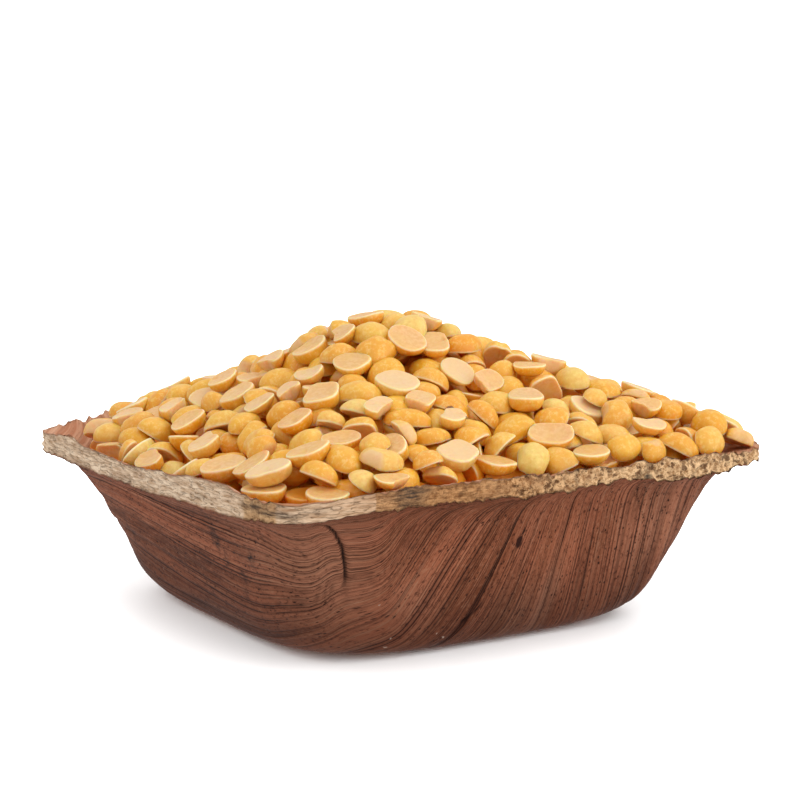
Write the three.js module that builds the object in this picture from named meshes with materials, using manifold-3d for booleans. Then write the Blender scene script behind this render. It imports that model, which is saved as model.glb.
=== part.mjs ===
// A square dish pressed from one palm leaf sheath, heaped with split pigeon peas.
// Millimetres, +Z up. The origin is the middle of the dish's foot, on the surface that the dish stands on.
// The dish's sides face along X and Y, and the wall that faces -Y is its front.
import * as THREE from "three";
import { mergeVertices } from "three/addons/utils/BufferGeometryUtils.js";
import Module from "manifold-3d";

const { lerp, smoothstep, degToRad, radToDeg, euclideanModulo } = THREE.MathUtils;

// The dish, outside. A half is half the width across the flats.
const RIM_HALF = 44.5;
const RIM_UNDER = 24.5; // height of the rim's lower edge, before the leaf's own warp
const RIM_THICK = 3.0;
const RIM_DIP = 1.2; // the rim's underside starts this much under its edge
const SHOULDER_HALF = 38.3; // where the wall ends and the rim begins to flare
const SHOULDER_HEIGHT = 17.2;
const FLARE_REACH = 4.2; // how tightly the wall turns out into the rim
const WALL_LEAN = degToRad(20.8); // from upright, at the shoulder
const WALL_REACH = 15.5; // how far down from the shoulder the wall keeps that lean
const FOOT_HALF = 25.0;
const FOOT_REACH = 8.5; // how far the curve out of the foot stays low
// Squareness of each level's outline: 2 is a circle, and a high power is a sharp square.
const FOOT_POWER = 2.1;
const SHOULDER_POWER = 7.3;
const RIM_POWER = 11.5;

// The dish, inside
const LEAF_THICK = 2.4;
const LEDGE_DROP = 0.7; // the ledge falls this much just inside the cut edge
const LEDGE_WIDTH = 2.6;
const LEDGE_CORNER = { half: 37.9, height: 23.8 }; // where the ledge and the wall would meet unrounded
const INNER_RISE = 2.0; // the inside's shoulder is this much above the outside's
const INNER_FLARE = 0.6; // and this much further out

// How the leaf warped as it dried, at turns in degrees: lift of the rim, thickness of its cut edge,
// and how far the wall is drawn in. The last is how far the heap spills towards the rim.
const WARP = [
  { turn: 0, lift: -0.3, edge: 2.6, drawn: 0, spill: 0 },
  { turn: 45, lift: -0.6, edge: 2.8, drawn: 0, spill: 0 },
  { turn: 90, lift: -0.7, edge: 3.0, drawn: 0.2, spill: 0 },
  { turn: 118, lift: -0.2, edge: 2.8, drawn: 0.3, spill: 0 },
  { turn: 124, lift: -0.7, edge: 2.8, drawn: 0.5, spill: 0 },
  { turn: 129, lift: -1.9, edge: 2.7, drawn: 0.8, spill: -2.0 },
  { turn: 135, lift: -2.1, edge: 2.9, drawn: 1.1, spill: -3.6 },
  { turn: 145, lift: -1.8, edge: 3.5, drawn: 0.8, spill: -5.2 },
  { turn: 180, lift: -1.2, edge: 3.3, drawn: 0.2, spill: -1.4 },
  { turn: 212, lift: 0.2, edge: 4.6, drawn: 0, spill: -0.4 },
  { turn: 218, lift: 0.7, edge: 3.3, drawn: 0, spill: -2.6 },
  { turn: 225, lift: 1.2, edge: 3.0, drawn: 0, spill: -3.6 },
  { turn: 240, lift: 2.0, edge: 2.9, drawn: 0, spill: 0.5 },
  { turn: 270, lift: 1.1, edge: 3.2, drawn: 0, spill: 0.6 },
  { turn: 285, lift: 1.6, edge: 2.4, drawn: 0, spill: 0.6 },
  { turn: 300, lift: 0.8, edge: 3.0, drawn: 0, spill: 1.0 },
  { turn: 315, lift: 1.7, edge: 1.8, drawn: 0.2, spill: 2.2 },
  { turn: 330, lift: 1.15, edge: 1.95, drawn: 0.1, spill: 0.3 },
];
const LIFT_FROM = 6; // the lift starts at this height and is whole at the rim
const DRAW_FROM = { start: 3, whole: 10 }; // heights
const CREASE = { depth: 0.8, low: 10, high: 22, fade: 3, turn: degToRad(2.2) }; // a fold at each corner
const RAGGED = 0.35; // how far the cut edge is broken back
const DISH_TURNS = 72;
const CORNER_CROWDING = 0.55; // draws the columns of vertices towards the corners

// The heap
const GAP = 0.3; // between the dish and what lies in it
const HEAP_HALF = 42.0; // where the heap meets the rim, before it spills
const HEAP_POWER = 5.0;
const HEAP_TOP = 44.4; // height of the cone that the tops of the peas follow
const HEAP_EDGE = 2.6; // the cone ends this much over the ledge
const HEAP_BULGE = 1.27; // 1 is a straight cone, and more is a fuller one
const SPILL_DROP = 0.4; // the heap's edge is this much lower for each millimetre that it spills
const HEAP_LEAN = { x: 0.017, y: -0.01 }; // rise for each millimetre along an axis
const MOUND = { height: 2.7, radius: 15.2, x: 0, y: 2.8 };
const CORE_DEPTH = 2.8; // the core's skin is this far under the tops of the peas
const CORE_EDGE_SLOPE = 0.6; // how steeply the core rises from its lip
const CORE_RINGS = [0.95, 0.86, 0.68, 0.45, 0.22, 0]; // shares of its lip's half-width
const CORE_TURNS = 32;

// The split peas: flat on one face and domed on the other
const PEA = { length: 6.5, width: 5.7, thick: 2.95, spread: 0.07 };
const PEA_SIDES = 6;
const PEA_WAIST = { radius: 0.72, depth: 0.66 }; // the dome's middle ring, as shares
const PEA_COUNT = 190;
const PEA_REACH = 0.96; // share of the heap's half-width that the peas' middles keep to
const PEA_STRAY = 0.6; // how far a pea may shift from its place to settle
const PEA_PROUD = 1.2; // a pea whose middle would end higher than this over the heap is left out
const SINK = 0.8; // how deep a pea bites into what it is fused to
const DISH_CLEAR = 0.35;
const TILT = degToRad(31); // the most that a pea leans from the slope
const CELL = 0.5; // grid of the height maps that the peas are dropped on
const TRIES = 8;
const PLACES = 60; // places drawn for each pea, of which the emptiest is taken
const SIMPLIFY = 0.04; // edges that matter less than this are merged
const SEED = 890;

const X_AXIS = new THREE.Vector3(1, 0, 0);
const Z_AXIS = new THREE.Vector3(0, 0, 1);

const wasm = await Module();
wasm.setup();

// Seeded random numbers from 0 to 1 (mulberry32).
function randomFrom(seed) {
  let state = seed;
  return () => {
    state = (state + 0x6d2b79f5) | 0;
    let mixed = Math.imul(state ^ (state >>> 15), 1 | state);
    mixed = (mixed + Math.imul(mixed ^ (mixed >>> 7), 61 | mixed)) ^ mixed;
    return ((mixed ^ (mixed >>> 14)) >>> 0) / 2 ** 32;
  };
}

// Distance from the middle in the measure whose unit circle is the outline of that power.
function gauge(x, y, power) {
  return (Math.abs(x) ** power + Math.abs(y) ** power) ** (1 / power);
}

// Radius of an outline of half-width 1 at an angle.
function outline(angle, power) {
  return 1 / gauge(Math.cos(angle), Math.sin(angle), power);
}

// One value of WARP at an angle: a smooth closed curve through the rows.
function warpAt(angle, value) {
  const turn = euclideanModulo(radToDeg(angle), 360);
  const row = (k) => {
    const { turn: own, [value]: y } = WARP[euclideanModulo(k, WARP.length)];
    return { x: own + 360 * Math.floor(k / WARP.length), y };
  };
  const k = WARP.findLastIndex((w) => w.turn <= turn);
  const [before, from, to, after] = [row(k - 1), row(k), row(k + 1), row(k + 2)];
  const span = to.x - from.x;
  const t = (turn - from.x) / span;
  const slopeFrom = ((to.y - before.y) / (to.x - before.x)) * span;
  const slopeTo = ((after.y - from.y) / (after.x - from.x)) * span;
  const ease = t * t * (3 - 2 * t);
  return lerp(from.y, to.y, ease) + slopeFrom * t * (1 - t) ** 2 - slopeTo * t * t * (1 - t);
}

// Stations along a cubic curve in the plane of half-width and height. Each has its outline's power.
function stationsAlong(corners, count, powerFrom, powerTo, first = 0) {
  const curve = new THREE.CubicBezierCurve(...corners.map(([half, height]) => new THREE.Vector2(half, height)));
  const stations = [];
  for (let i = first; i <= count; i++) {
    const at = curve.getPoint(i / count);
    stations.push({ half: at.x, height: at.y, power: lerp(powerFrom, powerTo, i / count) });
  }
  return stations;
}

function polar(radius, angle, height) {
  return new THREE.Vector3(radius * Math.cos(angle), radius * Math.sin(angle), height);
}

// A closed solid turned about Z and then warped: place(station, angle, column) gives each vertex.
// Stations run from the axis at the bottom, round the outside, to the axis at the top.
function turned(stations, turns, place) {
  const profile = stations.map((s) => new THREE.Vector2(s.half, s.height));
  const shape = new THREE.LatheGeometry(profile, turns);
  const position = shape.getAttribute("position");
  for (let i = 0; i < position.count; i++) {
    const column = Math.floor(i / stations.length) % turns;
    const even = (column / turns) * 2 * Math.PI;
    const angle = even + (CORNER_CROWDING / 4) * Math.sin(4 * even);
    const at = place(stations[i % stations.length], angle, column);
    position.setXYZ(i, at.x, at.y, at.z);
  }
  return shape;
}

// The outside of the dish, from the middle of the foot to the rim's lower edge.
function outerStations() {
  const wall = stationsAlong(
    [
      [FOOT_HALF, 0],
      [FOOT_HALF + FOOT_REACH, 0],
      [SHOULDER_HALF - WALL_REACH * Math.tan(WALL_LEAN), SHOULDER_HEIGHT - WALL_REACH],
      [SHOULDER_HALF, SHOULDER_HEIGHT],
    ],
    7,
    FOOT_POWER,
    SHOULDER_POWER,
  );
  const flare = stationsAlong(
    [
      [SHOULDER_HALF, SHOULDER_HEIGHT],
      [SHOULDER_HALF + FLARE_REACH * Math.tan(WALL_LEAN), SHOULDER_HEIGHT + FLARE_REACH],
      [RIM_HALF - FLARE_REACH, RIM_UNDER - RIM_DIP],
      [RIM_HALF, RIM_UNDER],
    ],
    4,
    SHOULDER_POWER,
    RIM_POWER,
    1,
  );
  return [{ half: 0, height: 0, power: FOOT_POWER }, ...wall, ...flare];
}

// The inside of the dish, from the rim's upper edge to the middle of the floor, with a gap left over it.
function innerStations(gap = 0) {
  const thick = LEAF_THICK + gap;
  const rimTop = RIM_UNDER + RIM_THICK + gap;
  const shoulder = [SHOULDER_HALF + INNER_FLARE - thick, SHOULDER_HEIGHT + INNER_RISE];
  const ledge = stationsAlong(
    [
      [RIM_HALF, rimTop],
      [RIM_HALF - LEDGE_WIDTH - gap, rimTop - LEDGE_DROP],
      [LEDGE_CORNER.half - gap, LEDGE_CORNER.height],
      shoulder,
    ],
    3,
    RIM_POWER,
    SHOULDER_POWER,
  );
  const wall = stationsAlong(
    [
      shoulder,
      [SHOULDER_HALF - thick - WALL_REACH * Math.tan(WALL_LEAN), shoulder[1] - WALL_REACH],
      [FOOT_HALF + FOOT_REACH - thick, thick],
      [FOOT_HALF - thick, thick],
    ],
    5,
    SHOULDER_POWER,
    FOOT_POWER,
    1,
  );
  const stations = [...ledge, ...wall, { half: 0, height: thick, power: FOOT_POWER }];
  return stations.map((s) => ({ ...s, inside: true }));
}

// How much higher the ledge is where the cut edge is thick, at a half-width.
function ledgeRise(half, angle) {
  return (warpAt(angle, "edge") - RIM_THICK) * smoothstep(half, SHOULDER_HALF, RIM_HALF);
}

// Where a station's point at an angle goes: on its level's outline, lifted and drawn in with the leaf's warp.
function onLeaf(station, angle) {
  const { half, height, power, inside } = station;
  const rise = inside ? ledgeRise(half, angle) : 0;
  const lift = warpAt(angle, "lift") * smoothstep(height, LIFT_FROM, RIM_UNDER);
  const drawn = warpAt(angle, "drawn") * smoothstep(height, DRAW_FROM.start, DRAW_FROM.whole);
  return polar(half * outline(angle, power) - drawn, angle, height + lift + rise);
}

// How far the fold at the nearest corner pulls the wall's outer face in.
function creaseDepth(station, angle) {
  const { depth, low, high, fade, turn } = CREASE;
  const offCorner = Math.abs(euclideanModulo(angle, Math.PI / 2) - Math.PI / 4);
  const above = smoothstep(station.height, low, low + fade);
  const below = 1 - smoothstep(station.height, high, high + fade);
  return depth * above * below * (1 - smoothstep(offCorner, 0, turn));
}

function pullIn(at, distance) {
  const share = 1 - distance / Math.max(Math.hypot(at.x, at.y), 1);
  at.x *= share;
  at.y *= share;
}

function dishGeometry() {
  const stations = [...outerStations(), ...innerStations()];
  const random = randomFrom(SEED);
  const [under, over] = [0, 1].map(() => Array.from({ length: DISH_TURNS }, () => [random(), random()]));
  return turned(stations, DISH_TURNS, (station, angle, column) => {
    const at = onLeaf(station, angle);
    if (!station.inside) pullIn(at, creaseDepth(station, angle));
    if (station.half === RIM_HALF) {
      const [back, up] = (station.inside ? over : under)[column];
      pullIn(at, RAGGED * back);
      at.z += RAGGED * (up - 0.5);
    }
    return at;
  });
}

// How far out a point is on the heap: 0 in the middle, and 1 at the heap's edge.
function heapShare(x, y) {
  return gauge(x, y, HEAP_POWER) / (HEAP_HALF + warpAt(Math.atan2(y, x), "spill"));
}

// Height of the tops of the peas over a point.
function heapHeight(x, y) {
  const out = heapShare(x, y);
  const angle = Math.atan2(y, x);
  const rim = RIM_UNDER + RIM_THICK - LEDGE_DROP + warpAt(angle, "lift");
  const edge = rim + HEAP_EDGE - SPILL_DROP * warpAt(angle, "spill");
  const cone = lerp(HEAP_TOP, edge, out ** HEAP_BULGE);
  const offMound = Math.hypot(x - MOUND.x, y - MOUND.y) / MOUND.radius;
  return cone + MOUND.height * Math.exp(-(offMound ** 4)) + HEAP_LEAN.x * x + HEAP_LEAN.y * y;
}

const BED = innerStations(GAP).filter((s) => s.half < HEAP_HALF);
const LIP = BED[0];

// Height of the core's skin over a point: under the peas, and thinning out towards its lip.
function coreHeight(x, y) {
  const inward = LIP.half - gauge(x, y, LIP.power);
  const angle = Math.atan2(y, x);
  const lip = LIP.height + ledgeRise(LIP.half, angle) + warpAt(angle, "lift");
  return Math.min(heapHeight(x, y) - CORE_DEPTH, lip + CORE_EDGE_SLOPE * inward);
}

// Everything under the peas that show: it fills the dish and rises under the heap.
function coreGeometry() {
  const skin = CORE_RINGS.map((share) => {
    return { half: LIP.half * share, height: 0, power: lerp(HEAP_POWER, LIP.power, share) };
  });
  return turned([...BED.toReversed(), ...skin], CORE_TURNS, (station, angle) => {
    const at = onLeaf(station, angle);
    if (skin.includes(station)) at.z = coreHeight(at.x, at.y);
    return at;
  });
}

// A closed mesh as a manifold-3d solid.
function solidOf(geometry) {
  const bare = geometry.clone();
  bare.deleteAttribute("normal");
  bare.deleteAttribute("uv");
  const merged = mergeVertices(bare, 1e-3);
  return new wasm.Manifold(
    new wasm.Mesh({
      numProp: 3,
      vertProperties: new Float32Array(merged.attributes.position.array),
      triVerts: new Uint32Array(merged.index.array),
    }),
  );
}

function geometryOf(solid) {
  const { numProp, numVert, vertProperties, triVerts } = solid.getMesh();
  const places = new Float32Array(numVert * 3);
  for (let i = 0; i < numVert; i++) {
    places.set(vertProperties.subarray(i * numProp, i * numProp + 3), i * 3);
  }
  const geometry = new THREE.BufferGeometry();
  geometry.setAttribute("position", new THREE.BufferAttribute(places, 3));
  geometry.setIndex(new THREE.BufferAttribute(new Uint32Array(triVerts), 1));
  return geometry;
}

// One split pea about its middle, with its flat face up: a lathe of few sides, pulled oval.
function peaGeometry(length, width, thick) {
  const face = thick / 2;
  const profile = [
    new THREE.Vector2(0, -face),
    new THREE.Vector2(PEA_WAIST.radius, lerp(face, -face, PEA_WAIST.depth)),
    new THREE.Vector2(1, face),
    new THREE.Vector2(0, face),
  ];
  return new THREE.LatheGeometry(profile, PEA_SIDES).rotateX(Math.PI / 2).scale(length / 2, width / 2, 1);
}

// The planes of a convex shape's faces, for reading its top and bottom over a point.
function planesOf(geometry) {
  const corners = geometry.toNonIndexed().getAttribute("position");
  const triangle = new THREE.Triangle();
  const planes = [];
  for (let i = 0; i < corners.count; i += 3) {
    triangle.setFromAttributeAndIndices(corners, i, i + 1, i + 2);
    if (triangle.getArea() > 1e-6) planes.push(triangle.getPlane(new THREE.Plane()));
  }
  return planes;
}

const LEDGE = innerStations().slice(0, 4);

// Height maps over the dish: soft is what a pea fuses to, and hard is the dish, which a pea stays clear of.
class Ground {
  constructor() {
    this.reach = RIM_HALF + PEA.length;
    this.side = Math.ceil((2 * this.reach) / CELL);
    this.soft = [];
    this.hard = [];
    for (let k = 0; k < this.side ** 2; k++) {
      const [x, y] = [this.at(k % this.side), this.at(Math.floor(k / this.side))];
      this.soft.push(gauge(x, y, LIP.power) < LIP.half ? coreHeight(x, y) : -Infinity);
      this.hard.push(Ground.dishTop(x, y));
    }
  }

  at(i) {
    return (i + 0.5) * CELL - this.reach;
  }

  // The dish's ledge. Further in the core lies on the dish, and nothing may pass over the cut edge.
  static dishTop(x, y) {
    const angle = Math.atan2(y, x);
    const half = gauge(x, y, RIM_POWER) * (1 + warpAt(angle, "drawn") / Math.hypot(x, y));
    if (half > RIM_HALF - CELL) return Infinity;
    const inner = LEDGE.findIndex((s) => s.half < half);
    if (inner < 0) return -Infinity;
    const [from, to] = [LEDGE[inner], LEDGE[inner - 1]];
    const share = (half - from.half) / (to.half - from.half);
    return lerp(from.height, to.height, share) + ledgeRise(half, angle) + warpAt(angle, "lift");
  }

  // The height at which a shape of these planes comes to rest over (x, y), and the cells under it.
  rest(planes, x, y, radius) {
    const first = (middle) => Math.floor((middle - radius + this.reach) / CELL);
    const steps = Math.ceil((2 * radius) / CELL);
    const cells = [];
    let height = -Infinity;
    for (let j = first(y); j <= first(y) + steps; j++) {
      for (let i = first(x); i <= first(x) + steps; i++) {
        let [top, bottom] = [Infinity, -Infinity];
        for (const { normal, constant } of planes) {
          const room = -constant - normal.x * (this.at(i) - x) - normal.y * (this.at(j) - y);
          if (normal.z > 0) top = Math.min(top, room / normal.z);
          else bottom = Math.max(bottom, room / normal.z);
        }
        if (top < bottom) continue;
        const k = j * this.side + i;
        height = Math.max(height, this.soft[k] - SINK - bottom, this.hard[k] + DISH_CLEAR - bottom);
        cells.push({ k, top });
      }
    }
    return { height, cells };
  }

  cover(cells, height) {
    for (const { k, top } of cells) this.soft[k] = Math.max(this.soft[k], height + top);
  }
}

// Of a few points drawn at random on the heap, the one that is furthest from every place already taken.
function emptiest(random, taken) {
  let [best, most] = [null, -Infinity];
  for (let n = 0; n < PLACES; n++) {
    const [x, y] = [HEAP_HALF * (2 * random() - 1), HEAP_HALF * (2 * random() - 1)];
    if (heapShare(x, y) > PEA_REACH) continue;
    const place = new THREE.Vector3(x, y, heapHeight(x, y));
    const room = Math.min(HEAP_HALF, ...taken.map((other) => other.distanceTo(place)));
    if (room > most) [best, most] = [place, room];
  }
  return best;
}

// The heap's outward direction at a place.
function slopeNormal({ x, y }) {
  const fallX = heapHeight(x - 1, y) - heapHeight(x + 1, y);
  const fallY = heapHeight(x, y - 1) - heapHeight(x, y + 1);
  return new THREE.Vector3(fallX, fallY, 2).normalize();
}

// A way for a pea to lie on a slope: spun, either face up, and leaning some way.
function randomLie(random, normal) {
  const about = X_AXIS.clone().applyAxisAngle(Z_AXIS, 2 * Math.PI * random());
  const lean = new THREE.Quaternion().setFromAxisAngle(about, (TILT * (random() + random())) / 2);
  const onSlope = new THREE.Quaternion().setFromUnitVectors(Z_AXIS, normal);
  const face = new THREE.Quaternion().setFromAxisAngle(X_AXIS, random() < 0.5 ? Math.PI : 0);
  const spin = new THREE.Quaternion().setFromAxisAngle(Z_AXIS, 2 * Math.PI * random());
  return lean.multiply(onSlope).multiply(face).multiply(spin);
}

// Drops one pea over a place, in the lie that lets it settle deepest of a few tries.
function dropPea(ground, random, place) {
  const size = () => 1 + PEA.spread * (2 * random() - 1);
  const pea = peaGeometry(PEA.length * size(), PEA.width * size(), PEA.thick * size());
  const normal = slopeNormal(place);
  let best = null;
  for (let n = 0; n < TRIES; n++) {
    const shape = pea.clone().applyQuaternion(randomLie(random, normal));
    const x = place.x + PEA_STRAY * (2 * random() - 1);
    const y = place.y + PEA_STRAY * (2 * random() - 1);
    const { height, cells } = ground.rest(planesOf(shape), x, y, PEA.length * 0.6);
    if (!best || height < best.height) best = { shape, x, y, height, cells };
  }
  if (best.height > heapHeight(best.x, best.y) + PEA_PROUD) return null;
  ground.cover(best.cells, best.height);
  return best.shape.translate(best.x, best.y, best.height);
}

// The core with the peas that show fused on. A pea that touches nothing is dropped.
function heapGeometry() {
  const random = randomFrom(SEED);
  const ground = new Ground();
  const solids = [solidOf(coreGeometry())];
  const taken = [];
  while (solids.length <= PEA_COUNT) {
    const place = emptiest(random, taken);
    const pea = dropPea(ground, random, place);
    if (pea) solids.push(solidOf(pea));
    taken.push(place);
  }
  const fused = wasm.Manifold.union(solids).simplify(SIMPLIFY);
  const [largest] = fused.decompose().sort((a, b) => b.volume() - a.volume());
  return geometryOf(largest);
}

function leafMaterial() {
  return new THREE.MeshStandardMaterial({ color: 0x7a4632, roughness: 0.62, metalness: 0 });
}

function peaMaterial() {
  return new THREE.MeshStandardMaterial({ color: 0xe3a23c, roughness: 0.5, metalness: 0 });
}

function namedMesh(name, geometry, material) {
  const mesh = new THREE.Mesh(geometry, material);
  mesh.name = name;
  return mesh;
}

const part = new THREE.Group();
part.add(namedMesh("dish", dishGeometry(), leafMaterial()));
part.add(namedMesh("pea_heap", heapGeometry(), peaMaterial()));

export default part;
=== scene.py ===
"""A square dish pressed from a palm leaf sheath, heaped with dry split pigeon peas.

Lengths are in millimetres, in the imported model's frame, until a mesh is made.
"""

import math

import bpy
import numpy as np
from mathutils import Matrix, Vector


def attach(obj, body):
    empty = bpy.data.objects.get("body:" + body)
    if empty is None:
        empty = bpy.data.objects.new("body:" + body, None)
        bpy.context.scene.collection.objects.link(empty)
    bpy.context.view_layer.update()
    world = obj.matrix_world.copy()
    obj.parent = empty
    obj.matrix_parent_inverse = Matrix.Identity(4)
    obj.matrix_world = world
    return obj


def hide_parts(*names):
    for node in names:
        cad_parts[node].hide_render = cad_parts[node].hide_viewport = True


MM = 0.001
TURN = 2 * math.pi
SEED = 20610

# The camera, by the angles and distances that frame the dish as the photograph does
CAMERA_AZIMUTH = math.radians(-31.44)
CAMERA_ELEVATION = math.radians(10.57)
CAMERA_DISTANCE = 449.5
CAMERA_AIM = {"right": 1.835, "up": 32.72}
CAMERA_FOCAL = 127.1
CAMERA_SENSOR = 36.0

# The light from all round, and the soft lights: strength, and in degrees the spread, the azimuth from
# -Y towards +X, and the elevation. The last whitens the floor alone.
WORLD_LIGHT = 0.83
KEY_LIGHT = (0.87, 90, 40, 70)
SIDE_LIGHT = (1.0, 60, 30, 8)
FLOOR_LIGHT = (4.6, 170, 0, 90)
FLOOR_HALF = 6000

# The dish's shape. A half is half the width across the flats.
RIM_HALF = 44.5
RIM_UNDER = 24.5
RIM_THICK = 3.0
RIM_DIP = 1.2
SHOULDER_HALF = 38.3
SHOULDER_HEIGHT = 17.2
FLARE_REACH = 4.2
WALL_LEAN = math.radians(20.8)
WALL_REACH = 15.5
FOOT_HALF = 25.0
FOOT_REACH = 8.5
FOOT_POWER = 2.1
SHOULDER_POWER = 7.3
RIM_POWER = 11.5
LEAF_THICK = 2.4
LEDGE_DROP = 0.7
LEDGE_WIDTH = 2.6
LEDGE_CORNER = (37.9, 23.8)
INNER_RISE = 2.0
INNER_FLARE = 0.6
LIFT_FROM = 6.0
DRAW_FROM = (3.0, 10.0)
# How the leaf warped as it dried: turn in degrees, lift of the rim, thickness of its cut edge,
# how far the wall is drawn in, and how far the heap spills towards the rim
WARP = np.array([
    (0, -0.3, 2.6, 0, 0),
    (45, -0.6, 2.8, 0, 0),
    (90, -0.7, 3.0, 0.2, 0),
    (118, -0.2, 2.8, 0.3, 0),
    (124, -0.7, 2.8, 0.5, 0),
    (129, -1.9, 2.7, 0.8, -2.0),
    (135, -2.1, 2.9, 1.1, -3.6),
    (145, -1.8, 3.5, 0.8, -5.2),
    (180, -1.2, 3.3, 0.2, -1.4),
    (212, 0.2, 4.6, 0, -0.4),
    (218, 0.7, 3.3, 0, -2.6),
    (225, 1.2, 3.0, 0, -3.6),
    (240, 2.0, 2.9, 0, 0.5),
    (270, 1.1, 3.2, 0, 0.6),
    (285, 1.6, 2.4, 0, 0.6),
    (300, 0.8, 3.0, 0, 1.0),
    (315, 1.7, 1.8, 0.2, 2.2),
    (330, 1.15, 1.95, 0.1, 0.3),
])
LIFT, EDGE, DRAWN, SPILL = 1, 2, 3, 4

# The dish's mesh
COLUMNS = 760
CORNER_CROWDING = 0.3
FOOT_ROWS = 5
WALL_ROWS = 54
FLARE_ROWS = 22
CUT_ROWS = 10
LEDGE_ROWS = 14
INNER_ROWS = 14

# The leaf's veins run along Y. Past a place near the -Y wall they swing: hardly on the -X wall, more
# round the front corner, most beyond it, and back to straight further along the -Y wall.
SWING_FROM = -29.0
SWING_SOFT = 2.2
SWINGS = {"side": 0.15, "corner": 0.7, "beyond": 1.5, "straight": -0.2}
# Where they do so, by x - y for the corner and beyond it, and by x for the rest
SWING_CORNER = (-20.0, 4.0)
SWING_BEYOND = (3.0, 16.0)
SWING_STRAIGHT = (-8.0, 16.0)
VEIN_LEAN = (0.02, 0.08)
# On the walls at the veins' two sides they lie as close on the leaf as elsewhere
VEIN_CROWDING = 1.6
CROWDED_FROM = 33.0
# On the back half the veins keep to the wall's height for a way round each corner
WRAP_POWER = 7
WRAP_MOST = 0.3
WRAP_FROM = (-10.0, 15.0)

# Grooves in the leaf along its veins, over a reach across them
GROOVES = {"count": 150, "width": 0.4, "reach": 80.0, "step": 0.02}
SQUARELY = (0.35, 0.75)  # where the cut edge's strips of fibres turn to crumbs, as end_grain has it
ROUND_EDGE = 1.6  # rows on either side of the cut over which its raggedness fades

# The heap, by the tops of its peas, and the core under them
GAP = 0.3
HEAP_HALF = 42.0
HEAP_POWER = 5.0
HEAP_TOP = 44.4
HEAP_EDGE = 2.6
HEAP_BULGE = 1.27
SPILL_DROP = 0.4  # the heap's edge is this much lower for each millimetre that it spills
HEAP_LEAN = (0.017, -0.01)
MOUND = {"height": 2.7, "radius": 15.2, "x": 0.0, "y": 2.8}
CORE_DEPTH = 8.0
CORE_HALF = 37.5  # the core stays in the part of the dish that is narrower than this
CORE_LIP = 0.85  # share of its width past which its top comes down to its lip
CORE_COLUMNS = 96
CORE_ROWS = (9, 10)
CORE_RINGS = 14

# The split peas
PEA_LENGTH = 6.5
PEA_WIDTH = 5.2
PEA_THICK = 2.85
PEA_FACE = [(0.45, 0), (0.75, 0), (0.87, 0), (0.94, 0.015), (0.98, 0.05)]  # shares of radius and depth
PEA_BEVEL = 0.08
PEA_MIDDLE = 0.4
PEA_SEGMENTS = 26
PEA_DOME_ROWS = 8
PEA_SHAPES = 30
NOTCHED = 0.4  # share with a notch where the germ was
SPOTTED = 0.05  # share with a spot of husk
PAINTED_GLOW_DEPTHS = (2.5, 5.0)  # from where to where under the heap's surface the peas get a painted glow, redder and brighter, for light that passes through the peas above

# How the peas are dropped, one by one, on a height map
PEA_LIES = 600  # level ways to lie, and as many steep ones
DOME_UP = 0.78  # share with the dome up
CELL = 0.35
LOOKS = 300  # cells drawn for each pea, of which the emptiest is taken
TRIES = (12, 60)  # how many lies are tried there, up to SHIFT cells away
SHIFT = 4
HOLLOW_COST = 0.8  # a hollow under a pea counts as this share of its depth in height
PROUD_COST = 2  # and what stands over the heap's aim as this many times its height
PROUD_MOST = 1.7
AIM_UNDER = 0.7  # the aim is this far under the tops of the peas
EDGE_BARE = 0.9  # no pea rests on this much of the rim
TIRED_BY = 0.6  # a place where no pea fitted counts as this much fuller
SETTLED = 0.88  # a pea's underside counts as this much smaller, as shaken peas lie closer
# The least room that still takes a whole pea, and then a smaller one in what is left
WHOLE = {"size": 1.0, "room_least": 1.35, "steep_share": 0.4}
SMALL = {"size": 0.86, "room_least": 1.5, "steep_share": 0.4}


def lerp(a, b, t):
    return a + (b - a) * t


def ease(t):
    return t * t * (3 - 2 * t)


def smoothstep(x, low, high):
    return ease(np.clip((x - low) / (high - low), 0, 1))


def bell(x, width):
    return np.exp(-(x / width) ** 2)


def wrapped(angle):
    return (angle + math.pi) % TURN - math.pi


def gauge(x, y, power):
    """Distance from the middle in the measure whose unit circle is the outline of that power."""
    return (np.abs(x) ** power + np.abs(y) ** power) ** (1 / power)


def outline(angle, power):
    return 1 / gauge(np.cos(angle), np.sin(angle), power)


def warp_at(angle, column):
    """One column of WARP at some angles: a smooth closed curve through its rows."""
    turn = np.degrees(angle) % 360
    x = np.concatenate([WARP[-1:, 0] - 360, WARP[:, 0], WARP[:2, 0] + 360])
    y = np.concatenate([WARP[-1:, column], WARP[:, column], WARP[:2, column]])
    k = np.clip(np.searchsorted(x, turn, side="right") - 1, 1, len(x) - 3)
    span = x[k + 1] - x[k]
    t = (turn - x[k]) / span
    slope_from = (y[k + 1] - y[k - 1]) / (x[k + 1] - x[k - 1]) * span
    slope_to = (y[k + 2] - y[k]) / (x[k + 2] - x[k]) * span
    return lerp(y[k], y[k + 1], ease(t)) + slope_from * t * (1 - t) ** 2 - slope_to * t * t * (1 - t)


def stations_along(corners, powers, count, first=0):
    """Rows of (half-width, height, power) along a cubic curve, from the first to count."""
    t = np.arange(first, count + 1)[:, None] / count
    a, b, c, d = (np.array(corner, float) for corner in corners)
    curve = (1 - t) ** 3 * a + 3 * t * (1 - t) ** 2 * b + 3 * t * t * (1 - t) * c + t ** 3 * d
    return np.column_stack([curve, lerp(*powers, t)])


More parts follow.
